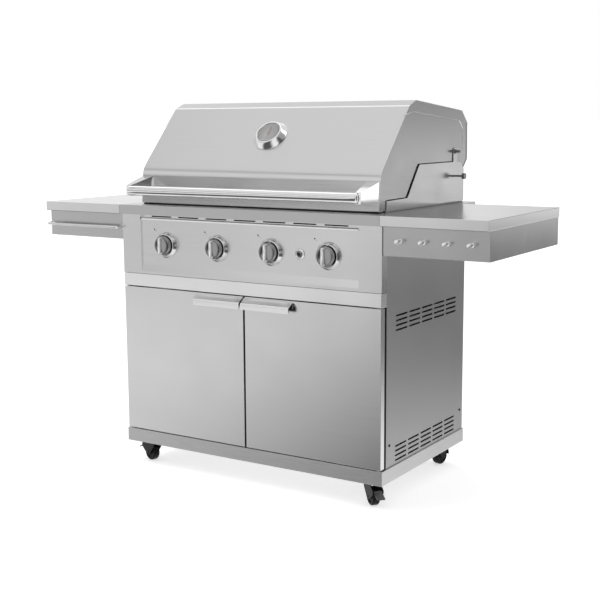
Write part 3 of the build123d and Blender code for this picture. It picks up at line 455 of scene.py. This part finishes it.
finished(brushed("brushed_panel_sheet", "#DADADA", across, 0.22), "control_panel")
(_, panel_face, _), (panel_end, _, panel_top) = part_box("control_panel")
ledge_yz = np.array([(0.5, 0.2), (0.5, 1.0), (3.8, 7.5), (9.8, 7.5), (9.8, 0.2)]) * 0.001
ledge_yz += (panel_face, panel_top - 0.018)
ledge_rings = [[(x, *yz) for yz in ledge_yz] for x in (0.080 - panel_end, panel_end - 0.080)]
piece("ledge_lip", [skin(ledge_rings)], pull_sheet, "cart", "brushed_steel")
satin_chrome = surface("satin_chrome", "#A4A4A4", 1.0, 0.16, (0.003, 0.003, 0.003), 0.000006, tint=0.02)
printed = surface("printed_ink", "#3A3A3A", 0.0, 0.5, (0.001, 0.001, 0.001), 0.00001)
cone_profile = [
    (34.2, 0.2), (44, 0.2), (44, 1.4), (43.4, 2.4), (37.8, 12.4), (37, 13.5), (36, 14),
    (34.8, 13.9), (33.8, 13), (33.4, 11.8), (33.4, 2.4),
]
knob_profile = [
    (26, 0), (30.2, 0), (31, 0.8), (31, 15.6), (30.6, 17.4), (29.6, 18.6), (28.4, 19),
    (27.4, 18.6), (26.8, 17.6), (26.6, 15.6), (25.6, 14.9), (8, 14.7),
]
bezel_low, bezel_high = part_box("knob_bezels")
cones, marks = [], []
for number in range(1, 5):
    knob_low, knob_high = np.array(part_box(f"knob_{number}"))
    x, z = (knob_low[0] + knob_high[0]) / 2, (knob_low[2] + knob_high[2]) / 2
    cones.append(skin(turned(cone_profile, (x, bezel_high[1], z), (0, -1, 0), 72), looped=True))
    for mark_x, mark_z, size in ((-0.050, 0.050, 2.6), (-0.044, 0.045, 1.3)):
        spot = [(size * 0.6, -0.1), (size, 0), (size, 0.12), (size * 0.6, 0.2)]
        marks.append(skin(turned(spot, (x + mark_x, bezel_high[1], z + mark_z), (0, -1, 0), 16)))
    angle = np.linspace(0, 2 * np.pi, 64, endpoint=False)
    levels = np.array([(0, 14), (0, 28.5), (0.5, 30.6), (1.8, 31.7), (3.4, 32)])
    half_width = 6.5 - levels[:, 0, None]
    half_length = 28 - levels[:, 0, None]
    grip_x = half_width * np.sign(np.cos(angle)) * np.abs(np.cos(angle)) ** 0.35
    grip_z = half_length * np.sign(np.sin(angle)) * np.abs(np.sin(angle)) ** 0.35
    grip_z = grip_z * np.sqrt(1 - (grip_x / 31) ** 2)
    grip_y = np.broadcast_to(-levels[:, 1, None], grip_x.shape)
    grip = np.stack([grip_x, grip_y, grip_z], axis=-1) * 0.001 + np.array((x, knob_high[1], z))
    body_rings = turned(knob_profile, (x, knob_high[1], z), (0, -1, 0), 72)
    knob = f"knob_{number}"
    piece(f"turned_knob_{number}", [skin(body_rings)], satin_chrome, knob, "knob_metal", [knob])
    piece(f"polished_grip_{number}", [skin(grip)], polished, knob, "knob_metal")
piece("polished_knob_cones", cones, polished, "cart", "polished_chrome", ["knob_bezels"])
piece("printed_knob_marks", marks, printed, "cart", "black_plastic")
finished(zinc, "valve_stem_1", "valve_stem_2", "valve_stem_3", "valve_stem_4")

# Igniter: a satin button with a black moulded cap in a small turned ring, and a spark box behind
# the panel.

black_plastic = surface("moulded_black_plastic", "#101010", 0.0, 0.42, (0.0015, 0.0015, 0.0015), 0.00003,
                        uneven=0.06)
ring_low, ring_high = np.array(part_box("igniter_bezel"))
button_low, button_high = np.array(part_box("igniter_button"))
igniter_x, igniter_z = (ring_low[0] + ring_high[0]) / 2, (ring_low[2] + ring_high[2]) / 2
ring_profile = [
    (9.1, 0), (17, 0), (17, 1.6), (16.2, 3.4), (12.6, 5.6), (11.4, 6), (10.2, 5.8), (9.2, 4.8), (9.1, 3),
]
ring_rings = turned(ring_profile, (igniter_x, ring_high[1], igniter_z), (0, -1, 0))
piece("turned_igniter_ring", [skin(ring_rings, looped=True)], polished, "cart", "polished_chrome",
      ["igniter_bezel"])
button_profile = [(8.6, 0), (9, 0.5), (9, 16.6), (8.6, 17.6), (7.8, 18), (6, 18)]
cap_profile = [(6.2, 17.6), (6.2, 18.4), (5.6, 18.9), (4.6, 19), (3, 18.6), (1, 18.4)]
igniter_seat = (igniter_x, button_high[1], igniter_z)
piece("turned_igniter_button", [skin(turned(button_profile, igniter_seat, (0, -1, 0)))], satin_chrome,
      "igniter", "knob_metal", ["igniter_button"])
piece("igniter_cap", [skin(turned(cap_profile, igniter_seat, (0, -1, 0)))], black_plastic, "igniter",
      "black_plastic")
finished(black_plastic, "spark_module")

# Gas train: brass valves machined from bar, a steel manifold, and rolled steel burner tubes that
# heat has tinted brown and blue.

brass = surface("machined_brass", "#C9A75C", 1.0, 0.26, (0.02, 0.0012, 0.0012), 0.00001, tint=0.08)
finished(brass, "gas_valves")
eased(0.0008, "gas_valves")
finished(galvanised, "gas_manifold")
finished(surface("heat_tinted_tube", "#94836F", 1.0, 0.4, (0.03, 0.05, 0.03), 0.00002, tint=0.25), "burners")

# Fire box and its fittings: a folded box of stainless sheet dulled by heat, with a grease tray on
# runners below it, folded flame tamers over the burners, cast iron grates and a wire warming rack.

sooty_sheet = surface("heat_dulled_sheet", "#8A8885", 1.0, 0.45, (0.05, 0.05, 0.05), 0.00004,
                      tint=0.15, uneven=0.1)
finished(sooty_sheet, "fire_box", "flame_tamers")
finished(galvanised, "grease_tray")
iron = surface("seasoned_cast_iron", "#1B1A19", 0.25, 0.52, (0.0018, 0.0018, 0.0018), 0.00015,
               tint=0.2, uneven=0.1)
finished(iron, "cooking_grates")
finished(surface("drawn_chrome_wire", "#C4C4C4", 1.0, 0.22, (0.03, 0.002, 0.002), 0.00001), "warming_rack")

# Fixed hood base: cheeks and a low back wall of brushed sheet that the lid closes over. A black
# strip on the deck under the lid's edge paints the shadow in the gap beneath the lid, and a thin
# black bead on each cheek's edge paints the shaded seam between cheek and lid end. A bolt through
# each cheek carries the lid.

finished(brushed("brushed_cheek_sheet", "#C6C6C6", fore_and_aft), "hood_base")
eased(0.0009, "hood_base")
finished(surface("dark_zinc_plating", "#7C7C80", 1.0, 0.22, (0.004, 0.004, 0.004), 0.00001), "hood_bolts")
eased(0.0008, "hood_bolts")
# Black paint for the shadow in the gap under the lid's edge, laid on the deck as a thin strip.
gap_shade = surface("black_gap_shade", "#080808", 0.0, 0.7, (0.002, 0.002, 0.002), 0.00003)
lid_low, lid_high = np.array(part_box("lid_skin"))
deck_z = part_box("top_frame")[1][2]
gap_shade_x, gap_shade_y = lid_high[0] - 0.003, (lid_low[1] + 0.0045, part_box("hood_base")[1][1] - 0.004)
gap_shade_path = np.array([(-gap_shade_x, gap_shade_y[1]), (-gap_shade_x, gap_shade_y[0]), (gap_shade_x, gap_shade_y[0]), (gap_shade_x, gap_shade_y[1])])
gap_shade_inside = np.array([(gap_shade_x - 0.009, gap_shade_y[1]), (gap_shade_x - 0.009, gap_shade_y[0] + 0.009),
                        (-gap_shade_x + 0.009, gap_shade_y[0] + 0.009), (-gap_shade_x + 0.009, gap_shade_y[1])])
gap_shade_outline = np.vstack([gap_shade_path, gap_shade_inside])
gap_shade_rings = [np.column_stack([gap_shade_outline, np.full(8, deck_z + rise)]) for rise in (0.0002, 0.0026)]
piece("hood_gap_shade_strip", [skin(gap_shade_rings)], gap_shade, "cart", "black_plastic")

cheek_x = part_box("hood_base")[1][0]
front_y, back_y = lid_low[1] + 0.0446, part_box("hood_base")[1][1]
edge_yz = [(front_y + 0.004, deck_z + 0.0355), (front_y + 0.1354, deck_z + 0.037),
           (front_y + 0.2164, deck_z + 0.138), (back_y - 0.086, deck_z + 0.138)]
cheek_gap_shades = []
# A thin black bead along each cheek's front edge paints the shaded seam between the cheek and the lid end.
for side in (-1, 1):
    edge = rounded([(side * (cheek_x - 0.001), y, z) for y, z in edge_yz], 0.006)
    cheek_gap_shades.append(skin(carried(edge, 0.0017, (1.0, 0.0, 0.0), 12)))
piece("cheek_gap_shade_bead", cheek_gap_shades, gap_shade, "cart", "black_plastic")

# Lid: an outer skin bent from one brushed sheet, two pressed ends and a liner. The tube handle
# stands on two tapered brackets, welded to the front and polished with it.

finished(brushed("brushed_lid_sheet", "#D8D8D8", across, 0.22), "lid_skin")
# The lid ends' grey is set darker than the lid's: painted shade on the ends turned away from the light.
finished(brushed("brushed_end_sheet_painted_shade", "#B2B2B2", fore_and_aft), "lid_ends")
eased(0.002, "lid_ends")
bead_yz = [(0.158, -0.018), (0.219, -0.007), (0.562, -0.034), (0.590, -0.062), (0.591, -0.132)]
beads = []
for side in (-1, 1):
    bead_x = side * (lid_high[0] - 0.0024)
    bead = rounded([(bead_x, lid_low[1] + y + 0.008, deck_z + 0.308 + z) for y, z in bead_yz], 0.012)
    beads.append(skin(carried(bead, 0.0022, (1.0, 0.0, 0.0), 12)))
piece("pressed_end_beads", beads, pull_sheet, "lid", "brushed_steel")
finished(sooty_sheet, "lid_liner")
finished(polished, "handle_brackets")
eased(0.0014, "handle_brackets")
tube_low, tube_high = np.array(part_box("handle_tube"))
tube_centre = (tube_low + tube_high) / 2
tube_half = (tube_high[0] - tube_low[0]) / 2 * 1000
tube_end = [(tube_half - 6, 16), (tube_half - 3.4, 15.4), (tube_half - 1.2, 13.6), (tube_half, 11)]
tube_profile = [(r, -h) for h, r in tube_end[::-1]] + [(16, h) for h in np.linspace(-400, 400, 9)] + [
    (r, h) for h, r in tube_end]
piece("polished_handle_tube", [skin(turned(tube_profile, tube_centre, (1, 0, 0), 72))], polished, "lid",
      "polished_chrome", ["handle_tube"])

# Thermometer: a polished cup on the lid's slope with a printed dial, a glass lens and a needle on
# a bimetal spindle. Its scale has fifty fine divisions over three quarters of a turn.

needle_joint = [joint for joint in joints if joint["name"] == "needle_turn"][0]
gauge_axis, gauge_centre = unit(needle_joint["axis"]), np.array(needle_joint["pos_m"])
cup_profile = [
    (52, 0.1), (59, 0.1), (59, 2), (57.6, 4), (50, 15), (46, 20.4), (44.6, 21.8),
    (42.8, 22.4), (41, 22.2), (39.6, 21.2), (38.6, 19.4), (38.3, 13.4), (30, 13.2),
]
piece("polished_gauge_cup", [skin(turned(cup_profile, gauge_centre, gauge_axis, 96))], polished, "lid",
      "polished_chrome", ["thermometer_bezel"])
dial_print = surface("printed_dial", "#868684", 0.1, 0.4, (0.004, 0.004, 0.004), 0.00001)
finished(dial_print, "thermometer_dial")
dial_right = np.array((1.0, 0.0, 0.0))
dial_up = np.cross(gauge_axis, dial_right)
strokes = []
for number in range(51):
    turn = np.radians(225 - 270 * number / 50)
    out = np.cos(turn) * dial_right + np.sin(turn) * dial_up
    sideways = np.cross(gauge_axis, out)
    long = number % 5 == 0
    ends = (0.024 if long else 0.029, 0.034)
    width = 0.0007 if long else 0.00035
    square = [(ends[0], -width), (ends[1], -width), (ends[1], width), (ends[0], width)]
    strokes.append(skin([[gauge_centre + gauge_axis * height + out * a + sideways * b for a, b in square]
                         for height in (0.01545, 0.0157)]))
piece("dial_strokes", strokes, printed, "lid", "black_plastic")
scale_ring = [(20.2, 15.45), (20.9, 15.45), (20.9, 15.7), (20.2, 15.7)]
piece("dial_ring", [skin(turned(scale_ring, gauge_centre, gauge_axis), looped=True)], printed, "lid",
      "black_plastic")
red_paint = surface("red_needle_paint", "#5E1F19", 0.0, 0.4, (0.002, 0.002, 0.002), 0.00001)
finished(red_paint, "thermometer_needle")
glass = surface("pressed_glass", "#FFFFFF", 0.0, 0.03, (0.03, 0.03, 0.03), 0.000002, tint=0.0, uneven=0.015)
glass.node_tree.nodes["Principled BSDF"].inputs["Transmission Weight"].default_value = 1.0
finished(glass, "thermometer_lens")
